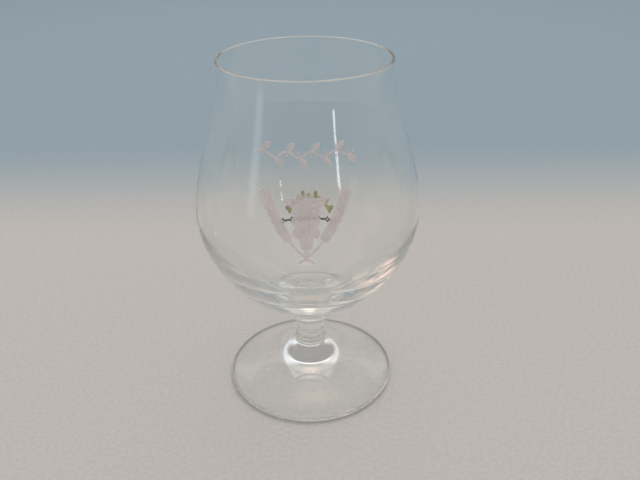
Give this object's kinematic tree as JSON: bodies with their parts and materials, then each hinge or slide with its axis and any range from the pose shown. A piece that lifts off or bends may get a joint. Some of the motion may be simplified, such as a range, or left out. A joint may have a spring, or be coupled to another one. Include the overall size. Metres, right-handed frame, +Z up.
{
  "type": "stemmed beer glass",
  "caption": "Clear stemmed beer glass with a round tulip bowl, a short stem with a low knop and a wide trumpet foot, printed with plain ornament in enamel.",
  "frame": {"origin": "on the table, under the axis of the glass", "axes": "+Z up along the axis of the glass, -Y towards the printed front, +X to the right as seen from the front"},
  "size_m": [0.0926, 0.0928, 0.148],
  "materials": {
    "glass": "clear, fire-polished",
    "white_enamel": "fired enamel, translucent, satin",
    "gold_enamel": "fired enamel, satin",
    "black_enamel": "fired enamel, satin"
  },
  "bodies": {
    "root": {"bowl": "glass", "stem": "glass", "foot": "glass", "front_border_print": "white_enamel", "front_motif_print": "white_enamel", "back_gold_print": "gold_enamel", "back_black_print": "black_enamel"}
  },
  "joints": []
}
